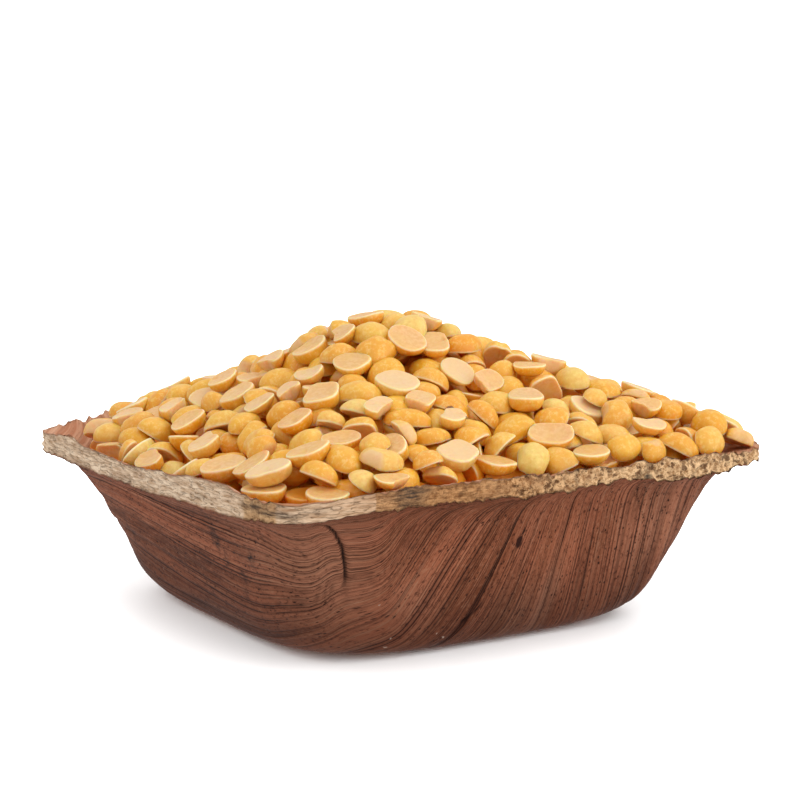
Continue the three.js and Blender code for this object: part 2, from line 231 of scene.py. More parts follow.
def outer_stations():
    """The outside of the dish, from near the middle of the foot to the rim's lower edge."""
    lean = math.tan(WALL_LEAN)
    foot = [(FOOT_HALF * (i + 1) / FOOT_ROWS, 0, FOOT_POWER) for i in range(FOOT_ROWS - 1)]
    shoulder = (SHOULDER_HALF, SHOULDER_HEIGHT)
    wall = stations_along(
        [(FOOT_HALF, 0), (FOOT_HALF + FOOT_REACH, 0),
         (SHOULDER_HALF - WALL_REACH * lean, SHOULDER_HEIGHT - WALL_REACH), shoulder],
        (FOOT_POWER, SHOULDER_POWER), WALL_ROWS)
    flare = stations_along(
        [shoulder, (SHOULDER_HALF + FLARE_REACH * lean, SHOULDER_HEIGHT + FLARE_REACH),
         (RIM_HALF - FLARE_REACH, RIM_UNDER - RIM_DIP), (RIM_HALF, RIM_UNDER)],
        (SHOULDER_POWER, RIM_POWER), FLARE_ROWS, 1)
    return np.concatenate([foot, wall, flare])


def inner_stations(gap=0.0, rows=(LEDGE_ROWS, INNER_ROWS)):
    """The inside, from the rim's upper edge to near the middle of the floor, with a gap left over it."""
    thick = LEAF_THICK + gap
    rim_top = RIM_UNDER + RIM_THICK + gap
    shoulder = (SHOULDER_HALF + INNER_FLARE - thick, SHOULDER_HEIGHT + INNER_RISE)
    ledge = stations_along(
        [(RIM_HALF, rim_top), (RIM_HALF - LEDGE_WIDTH - gap, rim_top - LEDGE_DROP),
         (LEDGE_CORNER[0] - gap, LEDGE_CORNER[1]), shoulder],
        (RIM_POWER, SHOULDER_POWER), rows[0])
    wall_half = SHOULDER_HALF - thick - WALL_REACH * math.tan(WALL_LEAN)
    wall = stations_along(
        [shoulder, (wall_half, shoulder[1] - WALL_REACH),
         (FOOT_HALF + FOOT_REACH - thick, thick), (FOOT_HALF - thick, thick)],
        (SHOULDER_POWER, FOOT_POWER), rows[1], 1)
    floor = [((FOOT_HALF - thick) * share, thick, FOOT_POWER) for share in (0.66, 0.33)]
    return np.concatenate([ledge, wall, floor])


def leaf_level(half, height, power, angle, inside):
    """How far out and how high a level of the leaf is at some angles."""
    lift = warp_at(angle, LIFT) * smoothstep(height, LIFT_FROM, RIM_UNDER)
    thicker = (warp_at(angle, EDGE) - RIM_THICK) * smoothstep(half, SHOULDER_HALF, RIM_HALF)
    drawn = warp_at(angle, DRAWN) * smoothstep(height, *DRAW_FROM)
    return half * outline(angle, power) - drawn, height + lift + (thicker if inside else 0)


def on_leaf(stations, angles, inside):
    """Where each station goes at each angle, as an array of rows by columns by 3."""
    half, height, power = (stations[:, k, None] for k in range(3))
    radius, z = leaf_level(half, height, power, angles[None, :], inside)
    return np.stack([radius * np.cos(angles), radius * np.sin(angles), z], -1)


def lattice_noise(points, seed):
    """Smooth value noise from -1 to 1, one swing per unit of the points' coordinates."""
    size = 4096
    table = np.random.default_rng(seed).uniform(-1, 1, size)
    base = np.floor(points).astype(np.int64)
    part = ease(points - base)
    total = np.zeros(points.shape[:-1])
    for corner in np.ndindex(2, 2, 2):
        at = base + corner
        key = (at[..., 0] * 73856093) ^ (at[..., 1] * 19349663) ^ (at[..., 2] * 83492791)
        weight = np.prod(np.where(corner, part, 1 - part), -1)
        total += weight * table[key & (size - 1)]
    return total


def layered_noise(points, seed, layers=3):
    return sum(lattice_noise(points * 2 ** layer, seed + layer) / 2 ** layer for layer in range(layers))


def vein_place(points):
    """Coordinates that follow the veins: across them, and then Y and Z, along them."""
    x, y, z = points[..., 0], points[..., 1], points[..., 2]
    steep = np.minimum(np.abs(y) / np.maximum(np.abs(x), 0.001), 3.0)
    wrap = WRAP_MOST * np.tanh(((1 + steep ** WRAP_POWER) ** (1 / WRAP_POWER) - 1) / WRAP_MOST)
    across = x * (1 + wrap * smoothstep(y, *WRAP_FROM))
    turning = smoothstep(x, *SWING_STRAIGHT)
    swing = lerp(SWINGS["side"], SWINGS["corner"], smoothstep(x - y, *SWING_CORNER))
    swing = lerp(swing, SWINGS["beyond"], smoothstep(x - y, *SWING_BEYOND))
    swing = lerp(swing, SWINGS["straight"], turning)
    beyond = -SWING_SOFT * np.logaddexp(0, (SWING_FROM - y) / SWING_SOFT)
    across = across + lerp(*VEIN_LEAN, turning) * y + swing * beyond
    outer = np.logaddexp(0, np.abs(across) - CROWDED_FROM)
    return np.stack([across + VEIN_CROWDING * outer * np.sign(across), y, z], -1)


def end_grain(points, normal):
    """How squarely the veins meet a face: 0 where they run along it, and 1 where they end in it."""
    step = 0.01
    across = vein_place(points)[..., 0]
    rise_x = vein_place(points + (step, 0, 0))[..., 0] - across
    rise_y = vein_place(points + (0, step, 0))[..., 0] - across
    met = np.abs(rise_x * normal[..., 1] - rise_y * normal[..., 0])
    flat = np.hypot(rise_x, rise_y) * np.hypot(normal[..., 0], normal[..., 1])
    return met / np.maximum(flat, 1e-9)


def normals_of(grid):
    """Outward normals of a grid of rows by columns, whose columns close on themselves."""
    across = np.roll(grid, -1, 1) - np.roll(grid, 1, 1)
    along = np.gradient(grid, axis=0)
    normal = np.cross(across, along)
    return normal / np.maximum(np.linalg.norm(normal, axis=-1, keepdims=True), 1e-9)


def groove_depth(place, seed):
    """How deep the grooves are at each vein place, from 0 to 1. Each fades in and out along the vein."""
    rng = np.random.default_rng(seed)
    reach = GROOVES["reach"]
    across = np.arange(-reach, reach, GROOVES["step"])
    depth = np.zeros(len(across))
    for _ in range(GROOVES["count"]):
        middle = rng.uniform(-reach, reach)
        spread = GROOVES["width"] * rng.uniform(0.5, 1.6)
        depth = np.maximum(depth, rng.uniform(0.25, 1) * bell(across - middle, spread))
    fade = lattice_noise(place * (0.7, 0.05, 0.07) + 31.0, seed + 1)
    return np.interp(place[..., 0], across, depth) * smoothstep(fade, -0.55, 0.25)


def distance_to_path(points, path):
    """Distance from each 2-D point to a polyline, and the share of the polyline that is nearest."""
    best = np.full(points.shape[:-1], np.inf)
    share = np.zeros(points.shape[:-1])
    path = np.array(path, float)
    for k, (a, b) in enumerate(zip(path[:-1], path[1:])):
        t = np.clip(((points - a) @ (b - a)) / ((b - a) @ (b - a)), 0, 1)
        gap = np.linalg.norm(points - a - t[..., None] * (b - a), axis=-1)
        nearer = gap < best
        best = np.where(nearer, gap, best)
        share = np.where(nearer, (k + t) / (len(path) - 1), share)
    return best, share


# Creases in the outer wall: depth and width in mm, and places along each as (turn in degrees, height)
CREASES = [
    (0.55, 0.24, [(227, 24.9), (228.5, 24.7), (229.3, 24.2), (230.2, 22.8), (231, 20.4), (231.2, 17.4),
                  (231.2, 15.4), (230.8, 13.9), (229.4, 13.2)]),
    (0.2, 0.16, [(293.5, 25.5), (295.2, 23.5), (300.8, 17.7), (305, 10.5)]),
    (0.3, 0.26, [(256.5, 4.6), (258.8, 5.6), (261.5, 7.2), (263.4, 8.6)]),
    (0.7, 0.5, [(137, 22), (139, 19), (140, 15), (139, 11)]),
    (0.4, 0.4, [(317, 23), (319, 19), (320, 14)]),
    (0.8, 0.45, [(48, 23), (46, 19), (45, 15), (46.5, 11)]),
]
MM_TO_RADIAN = 41.0  # millimetres of wall to a radian, for measuring across it

# Marks on the outer wall: turn in degrees, height, half-width, half-height and strength
STAINS = [
    (199, 22, 0.7, 1.5, 0.6),
    (199.6, 17.6, 0.9, 1.8, 0.9),
    (202, 14.8, 0.8, 1.3, 0.6),
    (211.9, 16.4, 0.6, 1.3, 0.8),
    (207.5, 12.6, 1.1, 1.5, 0.7),
    (206.4, 9.8, 0.9, 1.3, 0.6),
    (243, 19, 0.5, 0.7, 0.5),
    (286, 21.5, 0.4, 0.8, 0.5),
    (20, 15, 1.1, 1.4, 0.9),
    (75, 18, 0.9, 1.6, 0.8),
    (96, 9, 1.3, 0.9, 0.7),
    (150, 12, 1, 1.6, 0.6),
]
KNOTS = [
    (269.3, 17.4, 0.42, 0.75, 1.3),
    (269.9, 19.2, 0.2, 0.5, 0.9),
    (30, 11, 0.5, 0.8, 1.2),
]
# Where pale or dark veins are strongest
PALE_PLACES = [
    (281.5, 6, 1.6, 4.5, 1),
    (274, 4.5, 4, 3.5, 0.6),
    (226.5, 16.5, 5, 7, 1),
    (305, 17, 5, 7, 0.7),
    (219, 17, 5, 4.5, 0.6),
    (214, 22.5, 6, 2, 0.4),
    (244, 10, 3, 3, 0.5),
    (60, 14, 5, 7, 0.8),
    (110, 12, 5, 7, 0.7),
    (0, 8, 7, 5, 0.7),
]
DARK_PLACES = [
    (254, 13, 4.5, 10, 1),
    (262, 12, 2.5, 9, 0.7),
    (192, 14, 12, 8, 0.8),
    (290, 12, 2.5, 9, 0.8),
    (300, 10, 3, 8, 0.7),
    (80, 12, 7, 9, 0.8),
    (20, 14, 9, 7, 0.8),
]
# White crumbs of pith stuck to the wall
FLECKS = [
    (239.2, 3.9, 0.35, 0.3, 1),
    (237, 10.2, 0.3, 0.25, 1),
    (238, 2.4, 0.5, 0.3, 0.9),
    (252.5, 2.9, 0.5, 0.4, 0.9),
    (250.5, 3.6, 0.3, 0.4, 0.8),
    (64, 5, 0.4, 0.3, 1),
    (160, 7, 0.4, 0.3, 1),
]
# Grey and dark places on the cut edge, marked in the same way
EDGE_STAINS = [
    (242.5, 28, 1.5, 2, 1),
    (219, 27.5, 1.6, 0.5, 0.8),
    (223.5, 27, 2.4, 0.4, 0.9),
    (229, 27.6, 2.2, 0.4, 0.6),
    (277, 28.4, 0.3, 2, 0.9),
    (292.7, 26.6, 0.4, 1.5, 0.9),
    (205, 26, 2, 0.5, 0.5),
]
# Where the cut edge is browner
EDGE_BROWNS = [
    (250, 28, 13, 9, 1),
    (236, 27, 4, 9, 0.7),
]
# Flakes and crumbs that stand up from the cut: turn in degrees, half-width and rise in mm
FLAKES = [
    (150, 1.8, 1.1),
    (146, 1, 0.5),
    (281.5, 1.6, 0.4),
    (290.5, 1, 0.5),
    (297, 1.4, 0.45),
    (303, 0.9, 0.5),
]


def off_turn(grid, turn):
    """Millimetres along the wall from a turn in degrees."""
    return wrapped(np.arctan2(grid[..., 1], grid[..., 0]) - math.radians(turn)) * MM_TO_RADIAN


def creases_at(grid):
    """Over a grid of points: depth of the creases, how far the nearest is, and how strong it is."""
    depth = np.zeros(grid.shape[:-1])
    nearest, strength = np.full(depth.shape, 9.0), np.zeros(depth.shape)
    for deepest, width, places in CREASES:
        first = places[0][0]
        path = [(math.radians(turn - first) * MM_TO_RADIAN, height) for turn, height in places]
        place = np.stack([off_turn(grid, first), grid[..., 2]], -1)
        gap, share = distance_to_path(place, path)
        here = smoothstep(share, 0, 0.15) * (1 - smoothstep(share, 0.7, 1.0))
        lip = bell(gap - 2.6 * width, 1.5 * width)
        depth += here * deepest * (bell(gap, width) - 0.25 * lip)
        nearer = gap / width < nearest
        nearest = np.where(nearer, gap / width, nearest)
        strength = np.where(nearer, here, strength)
    return depth, nearest, strength


def marks_at(grid, marks):
    """Over a grid of points, the strength of the strongest of some marks."""
    total = np.zeros(grid.shape[:-1])
    for turn, height, half_width, half_height, strength in marks:
        spread = (off_turn(grid, turn) / half_width) ** 2 + ((grid[..., 2] - height) / half_height) ** 2
        total = np.maximum(total, strength * np.exp(-spread / 2))
    return total


def add_object(name, data):
    made = bpy.data.objects.new(name, data)
    bpy.context.scene.collection.objects.link(made)
    return made


def mesh_object(name, points, faces, material, attributes=None, smooth=True):
    """A mesh object from points in millimetres. Each attribute is one number or three for each point."""
    mesh = bpy.data.meshes.new(name)
    mesh.from_pydata((np.asarray(points) * MM).tolist(), [], faces)
    for key, values in (attributes or {}).items():
        values = np.asarray(values, np.float32)
        kind, field = ("FLOAT", "value") if values.ndim == 1 else ("FLOAT_VECTOR", "vector")
        layer = mesh.attributes.new(key, kind, "POINT")
        layer.data.foreach_set(field, values.ravel())
    mesh.polygons.foreach_set("use_smooth", [smooth] * len(mesh.polygons))
    mesh.materials.append(material)
    mesh.update()
    return add_object(name, mesh)


def closed_faces(rows, columns, flip=False):
    """Quads between a closed grid's rows, and triangles from its end rows to the two points after it."""
    ring = np.arange(columns)
    after = np.roll(ring, -1)
    start = np.arange(rows - 1)[:, None] * columns
    quads = np.stack([start + ring, start + after, start + columns + after, start + columns + ring], -1)
    quads = quads.reshape(-1, 4)
    last, pole = (rows - 1) * columns, np.full(columns, rows * columns)
    ends = [(after, ring, pole), (last + ring, last + after, pole + 1)]
    tips = np.concatenate([np.stack(end, -1) for end in ends])
    return (quads[:, ::-1], tips[:, [1, 0, 2]]) if flip else (quads, tips)


def closed_mesh(name, grid, poles, material, attributes=None):
    """A closed body from a grid of points, with a pole before its first row and one after its last."""
    rows, columns = grid.shape[:2]
    quads, tips = closed_faces(rows, columns)
    values = {}
    for key, value in (attributes or {}).items():
        flat = np.broadcast_to(value, (rows, columns, *value.shape[2:])).reshape(-1, *value.shape[2:])
        values[key] = np.concatenate([flat, [flat[:columns].mean(0), flat[-columns:].mean(0)]])
    points = np.concatenate([grid.reshape(-1, 3), poles])
    return mesh_object(name, points, quads.tolist() + tips.tolist(), material, values)


def crowded_angles(columns):
    even = np.arange(columns) / columns * TURN
    return even + CORNER_CROWDING / 4 * np.sin(4 * even)


def edge_place(grid, rim_row):
    """Coordinates that follow the cut edge: along it, out from the middle, and up."""
    rim = grid[rim_row, :, :2]
    along = np.cumsum(np.linalg.norm(np.roll(rim, -1, 0) - rim, axis=1)) + 0 * grid[..., 0]
    out = gauge(grid[..., 0], grid[..., 1], RIM_POWER)
    return np.stack([along, out, grid[..., 2]], -1)


def cut_shift(place, squarely, row_share):
    """How the cut edge stands out or in, and how far down in its hollows each point is, from 0 to 1, which
    sets the painted shade there.

    Where the leaf's fibres lie along the edge it has strips, and where they end in it, crumbs.
    """
    strips = layered_noise(place * (0.6, 0.3, 1.5), SEED + 31, 3)
    lumps = np.abs(lattice_noise(place * (0.85, 0.4, 1.0) + 5, SEED + 34))
    lumps = lumps + 0.4 * lattice_noise(place * (2.2, 1.0, 2.4), SEED + 35)
    bulge = 0.25 * np.sin(math.pi * row_share) - 0.3
    crevice_shade = lerp(smoothstep(strips, -0.5, -1.1), smoothstep(lumps, 0.12, -0.12), squarely)
    return bulge + lerp(0.28 * strips, 0.75 * lumps - 0.2, squarely), crevice_shade


def cut_rag(place, squarely, seed):
    """How ragged one edge of the cut is, up or down."""
    flat = place * (1, 1, 0)
    slow = layered_noise(flat * 0.16, seed, 2)
    quick = layered_noise(flat * 0.75 + 9, seed + 3, 3)
    return lerp(0.18 * slow + 0.18 * quick, 0.34 * slow + 0.44 * quick, squarely)


def dish_surface():
    """The dish's points by rows and columns, with what its material needs to know at each point."""
    angles = crowded_angles(COLUMNS)
    outer = on_leaf(outer_stations(), angles, inside=False)
    inner = on_leaf(inner_stations(), angles, inside=True)
    share = np.linspace(0, 1, CUT_ROWS + 2)[1:-1]
    cut = lerp(outer[-1:], inner[:1], share[:, None, None])
    grid = np.concatenate([outer, cut, inner])
    place, normal = vein_place(grid), normals_of(grid)
    parts = [len(outer), CUT_ROWS, len(inner)]
    outside, is_cut, is_inside = (np.repeat(flags, parts)[:, None] for flags in np.eye(3))
    up_cut = np.concatenate([np.zeros(parts[0]), share, np.ones(parts[2])])[:, None]
    from_edge = np.abs(np.arange(len(grid)) - (parts[0] + parts[1] / 2 - 0.5)) - parts[1] / 2
    by_edge = bell(np.maximum(from_edge, 0), ROUND_EDGE)[:, None]
    rim_row = parts[0] + CUT_ROWS // 2

    wall = smoothstep(grid[..., 2], 0.2, 4.0)
    swell = layered_noise(place * (0.2, 0.03, 0.05), SEED + 21, 2)
    coarse = groove_depth(place, SEED + 11)
    crease, crease_gap, crease_strength = creases_at(grid)
    outward = wall * (0.2 * swell - 0.26 * coarse) - crease
    inward = 0.1 * swell - 0.08 * coarse
    squarely = smoothstep(end_grain(grid, normal[rim_row]), *SQUARELY)
    cut_out, crevice_shade = cut_shift(edge_place(grid, rim_row), squarely, up_cut)
    shift = outside * outward + is_cut * cut_out + is_inside * inward
    grid = grid + normal * shift[..., None]
    flaked = sum(rise * bell(off_turn(grid, turn), width) for turn, width, rise in FLAKES)
    rag = (1 - up_cut) * cut_rag(place, squarely, SEED + 41)
    rag = rag + up_cut * (cut_rag(place, squarely, SEED + 51) + flaked)
    grid[..., 2] = np.maximum(grid[..., 2] + by_edge * rag, 0)
    return grid, {
        "place": place,
        "edge": edge_place(grid, rim_row),
        "crevice_shade": is_cut * crevice_shade,
        "groove": outside * coarse,
        "crease": outside * crease_strength,
        "crease_gap": crease_gap,
        "stain": outside * marks_at(grid, STAINS) + is_cut * marks_at(grid, EDGE_STAINS),
        "knot": outside * marks_at(grid, KNOTS),
        "bleached": outside * marks_at(grid, PALE_PLACES),
        "darkened": outside * marks_at(grid, DARK_PLACES) + is_cut * marks_at(grid, EDGE_BROWNS),
        "fleck": outside * marks_at(grid, FLECKS),
        "cut": is_cut,
        "inside": is_inside,
        "squarely": squarely,
    }


def build_dish(material):
    grid, attributes = dish_surface()
    return closed_mesh("leaf_dish", grid, [(0, 0, 0), (0, 0, LEAF_THICK)], material, attributes)


def heap_share(x, y):
    """How far out a point is on the heap: 0 in the middle, and 1 at the heap's edge."""
    return gauge(x, y, HEAP_POWER) / (HEAP_HALF + warp_at(np.arctan2(y, x), SPILL))


def heap_height(x, y):
    """Height of the tops of the peas over a point."""
    out = heap_share(x, y)
    angle = np.arctan2(y, x)
    edge = RIM_UNDER + RIM_THICK - LEDGE_DROP + HEAP_EDGE + warp_at(angle, LIFT)
    edge = edge - SPILL_DROP * warp_at(angle, SPILL)
    cone = lerp(HEAP_TOP, edge, out ** HEAP_BULGE)
    off_mound = np.hypot(x - MOUND["x"], y - MOUND["y"]) / MOUND["radius"]
    return cone + MOUND["height"] * np.exp(-off_mound ** 4) + HEAP_LEAN[0] * x + HEAP_LEAN[1] * y


def dish_top(x, y):
    """Height of the dish's inside over a grid of points, and infinite past its cut edge."""
    angle, radius = np.arctan2(y, x), np.hypot(x, y)
    levels = [leaf_level(*station, angle, inside=True) for station in inner_stations()]
    top = np.full(x.shape, np.inf)
    for (reach_out, z_out), (reach_in, z_in) in zip(levels[:-1], levels[1:]):
        t = (radius - reach_in) / (reach_out - reach_in)
        between = (radius >= reach_in) & (radius < reach_out)
        top = np.where(between, lerp(z_in, z_out, t), top)
    top = np.where(radius < levels[-1][0], levels[-1][1], top)
    return np.where(radius > levels[0][0] - EDGE_BARE, np.inf, top)


def build_core(material):
    """What the peas lie on: it fills the dish, and stays well under the heap's surface."""
    bed = inner_stations(GAP, CORE_ROWS)
    bed = bed[bed[:, 0] < CORE_HALF][::-1]
    under = on_leaf(bed, crowded_angles(CORE_COLUMNS), inside=True)
    lip = under[-1]
    rings = []
    for share in np.linspace(1, 0, CORE_RINGS)[1:-1]:
        ring = lip * (share, share, 1)
        over = heap_height(ring[:, 0], ring[:, 1]) - CORE_DEPTH
        ring[:, 2] = lerp(over, np.minimum(lip[:, 2], over), smoothstep(share, CORE_LIP, 1.0))
        rings.append(ring)
    poles = [(0, 0, LEAF_THICK + GAP), (0, 0, heap_height(0.0, 0.0) - CORE_DEPTH)]
    return closed_mesh("heap_core", np.concatenate([under, rings]), poles, material)


def pea_section(rng):
    """A pea's section, from its flat face's middle to its dome's top: shares of radius, and of depth."""
    fullness = 2 / rng.uniform(1.7, 2.7)
    lift = np.radians([3, *np.linspace(10, 80, PEA_DOME_ROWS)])
    dome = np.stack([np.cos(lift) ** fullness, lerp(PEA_BEVEL, 1, np.sin(lift) ** fullness)], -1)
    return np.concatenate([PEA_FACE, dome]).T


def broken_side(rng, turn):
    """Where a break cuts a pea off: how far from its middle at each turn, and how much it is cut there."""
    facing = wrapped(turn - rng.uniform(0, TURN))
    bite = 1 + rng.uniform(-0.1, 0.5) * facing ** 2
    ragged = 1 + rng.normal(0, 0.025, len(turn))
    reach = rng.uniform(0.2, 0.75) / np.maximum(np.cos(facing), 0.05) * bite * ragged
    return np.where(np.abs(facing) < 1.45, reach, 9.0)


def pea_shape(rng, broken):
    """One pea with its flat face up: its points, how much each is on a flat face, and how near a rim, where
    a highlight is painted.
    """
    turn = np.arange(PEA_SEGMENTS) / PEA_SEGMENTS * TURN
    radius = outline(turn, rng.uniform(1.9, 2.7))
    for wave in (2, 3, 4, 5):
        swing = rng.normal(0, 0.034 / math.sqrt(wave - 1))
        radius = radius * (1 + swing * np.cos(wave * turn + rng.uniform(0, TURN)))
    notch = rng.uniform(0, TURN)
    notched = rng.random() < NOTCHED
    if notched:
        radius = radius * (1 - rng.uniform(0.05, 0.13) * bell(wrapped(turn - notch), 0.22))
    raw = np.zeros(PEA_SEGMENTS)
    if broken:
        reach = broken_side(rng, turn)
        raw = smoothstep(radius - reach, 0.0, 0.05)
        radius = np.minimum(radius, reach)

    share, depth = (column[:, None] for column in pea_section(rng))
    dome = PEA_THICK * rng.uniform(0.8, 1.08)
    across = np.array([PEA_LENGTH / 2, PEA_WIDTH / 2]) * rng.uniform((0.93, 0.88), (1.05, 1.06))
    ring = share * radius
    x, y = ring * np.cos(turn) * across[0], ring * np.sin(turn) * across[1]
    on_face = np.where(depth > 0.01, 0, 1 - smoothstep(share, 0.8, 0.9))
    sunk = rng.uniform(0.08, 0.32) * (1 - (share / 0.9) ** 2)
    along = x * math.cos(notch) + y * math.sin(notch)
    aside = x * math.sin(notch) - y * math.cos(notch)
    groove = 0.0
    if notched:
        groove = rng.uniform(0.2, 0.45) * bell(aside, 0.42) * smoothstep(along, 0.1, 1.0)
    elif rng.random() < 0.25:
        groove = 0.18 * bell(aside, 0.3)
    z = -depth * dome - on_face * (sunk + groove)
    z = z + rng.uniform(-0.015, 0.03) * (x * x - 0.4 * y * y)
    lean = rng.normal(0, 0.07, 2)
    points = np.stack([x - lean[0] * z, y - lean[1] * z, z], -1).reshape(-1, 3)
    poles = [(0, 0, -sunk[0, 0]), (lean[0] * dome, lean[1] * dome, -dome)]
    points = np.concatenate([points, poles])
    points *= (1 + 0.055 * lattice_noise(points * 0.5 + rng.uniform(0, 99, 3), SEED + 81))[:, None]

    face = np.maximum(smoothstep(share, 0.93, 0.87) * (depth < 0.01) + 0 * x, raw * (share > 0.5))
    # How near the bevel between face and dome, where a painted highlight goes
    rim = bell(depth - 0.05, 0.06) * smoothstep(share, 0.9, 0.97) * (1 - raw)
    return points + (0, 0, dome * PEA_MIDDLE), np.append(face, [1, 0]), np.append(rim, [0, 0])


def turn_matrix(axis, angle):
    """Rotation matrix about a unit axis."""
    x, y, z = axis
    skew = np.array([(0, -z, y), (z, 0, -x), (-y, x, 0)])
    return np.eye(3) + math.sin(angle) * skew + (1 - math.cos(angle)) * skew @ skew


def random_lie(rng, steep, dome_up):
    """A way for a pea to lie: spun, either face up, and near level or up to on edge."""
    spin = turn_matrix((0, 0, 1), rng.uniform(0, TURN))
    face = turn_matrix((1, 0, 0), math.pi * dome_up)
    tilt = math.radians(rng.uniform(25, 80) if steep else abs(rng.normal(0, 18)))
    about = rng.uniform(0, TURN)
    return turn_matrix((math.cos(about), math.sin(about), 0), tilt) @ face @ spin


def envelope(lie, size):
    """Bottom and top of a pea in that lie over a square grid of cells, and infinite where it isn't."""
    reach = int(math.ceil((PEA_LENGTH / 2 + 0.4) / CELL))
    step = np.arange(-reach, reach + 1) * CELL
    x, y = np.meshgrid(step, step, indexing="ij")
    scale = np.array([PEA_LENGTH / 2, PEA_WIDTH / 2, PEA_THICK]) * size
    start = np.stack([x, y, np.zeros_like(x)], -1) @ lie - (0, 0, PEA_THICK * PEA_MIDDLE * size)
    along = np.array([0, 0, 1.0]) @ lie
    p, d = start / scale, along / scale
    aa, bb, cc = (d * d).sum(), (p * d).sum(-1), (p * p).sum(-1) - 1
    inside = bb * bb - aa * cc
    root = np.sqrt(np.maximum(inside, 0))
    low, high = (-bb - root) / aa, (-bb + root) / aa
    flat = -start[..., 2] / along[2]
    if along[2] > 0:
        high = np.minimum(high, flat)
    else:
        low = np.maximum(low, flat)
    missing = (inside <= 0) | (low >= high)
    return np.where(missing, np.inf, low), np.where(missing, -np.inf, high)


class Pile:
    """A height map of the dish and what lies in it, onto which peas are dropped one by one."""

    def __init__(self, rng):
        self.rng = rng
        reach = RIM_HALF + PEA_LENGTH
        self.side = int(2 * reach / CELL)
        self.middle = (np.arange(self.side) + 0.5) * CELL - reach
        x, y = np.meshgrid(self.middle, self.middle, indexing="ij")
        self.aim = heap_height(x, y) - AIM_UNDER
        self.ground = np.maximum(dish_top(x, y), self.aim - CORE_DEPTH)
        self.open = (heap_share(x, y) < 1) & np.isfinite(self.ground)

    def lie_in(self, size):
        """Draws the ways to lie for a size: the level ones and then the steep, every other one dome up."""
        self.size = size
        self.lies = [random_lie(self.rng, n >= PEA_LIES, n % 2) for n in range(2 * PEA_LIES)]
        self.low = np.array([envelope(lie, size * SETTLED)[0] for lie in self.lies])
        self.high = np.array([envelope(lie, size)[1] for lie in self.lies])
        self.covered = np.isfinite(self.low)
        self.half = self.low.shape[1] // 2
        self.tired = np.zeros(self.ground.shape)

    def lowest(self):
        """The open cell that lies furthest under the heap's aim, of some drawn at random."""
        i, j = self.rng.integers(0, self.side, (2, LOOKS))
        room = np.where(self.open[i, j], self.aim[i, j] - self.ground[i, j] - self.tired[i, j], -np.inf)
        best = int(np.argmax(room))
        return i[best], j[best], room[best]

    def drop(self, i, j, steep):
        """Drops a pea near a cell, and returns its lie, place and size, or None where it doesn't fit."""
        tries = self.rng.integers(*TRIES)
        dome_up = int(self.rng.random() < DOME_UP)
        k = 2 * self.rng.integers(0, PEA_LIES // 2, tries) + dome_up + (PEA_LIES if steep else 0)
        shift = self.rng.integers(-SHIFT, SHIFT + 1, (2, tries))
        i, j = np.clip(shift + [[i], [j]], self.half, self.side - self.half - 1)
        near = np.arange(-self.half, self.half + 1)
        cells = i[:, None, None] + near[:, None], j[:, None, None] + near
        covered, low, high = self.covered[k], self.low[k], self.high[k]
        under = self.ground[cells]
        rest = np.where(covered, under - np.where(covered, low, 0), -np.inf).max((1, 2))
        fits = np.isfinite(rest)
        rest = np.where(fits, rest, 0)
        top = rest[:, None, None] + high
        hollow = np.where(covered, rest[:, None, None] + low - under, 0).sum((1, 2)) / covered.sum((1, 2))
        proud = (top - self.aim[cells]).max((1, 2))
        score = rest - self.aim[i, j] + HOLLOW_COST * hollow + PROUD_COST * np.maximum(0, proud)
        score = np.where(fits & (proud < PROUD_MOST), score, np.inf)
        best = int(np.argmin(score))
        if not np.isfinite(score[best]):
            return None
        here = tuple(side[best] for side in cells)
        self.ground[here] = np.maximum(under[best], top[best])
        return self.lies[k[best]], (self.middle[i[best]], self.middle[j[best]], rest[best]), self.size

    def fill(self, size, room_least, steep_share):
        """Drops peas of a size until no place has room, and returns them."""
        self.lie_in(size)
        placed = []
        while True:
            i, j, room = self.lowest()
            if room < room_least:
                return placed
            steep = self.rng.random() < steep_share
            pea = self.drop(i, j, steep) or self.drop(i, j, not steep)
            if pea:
                placed.append(pea)
            else:
                self.tired[i - 2:i + 3, j - 2:j + 3] += TIRED_BY


# The kinds of peas: name, share, tone from green to amber, how pale, and whether they are broken
PEA_KINDS = [
    ("peas_golden", 0.27, (0.3, 0.8), (0.0, 0.3), False),
    ("peas_amber", 0.26, (0.6, 1.0), (0.0, 0.2), False),
    ("peas_yellow", 0.2, (0.0, 0.4), (0.1, 0.45), False),
    ("peas_pale", 0.14, (-0.5, 0.5), (0.6, 1.2), False),
    ("peas_broken", 0.13, (0.2, 0.9), (0.1, 0.8), True),
]


def husk_spot(shape, rng):
    """On a few peas, 1 at a spot of husk near the rim and less round it. On the others, 0."""
    spot = shape[rng.integers(2 * PEA_SEGMENTS, 8 * PEA_SEGMENTS)]
    return bell(np.linalg.norm(shape - spot, axis=1), rng.uniform(0.5, 1.0)) * (rng.random() < SPOTTED)


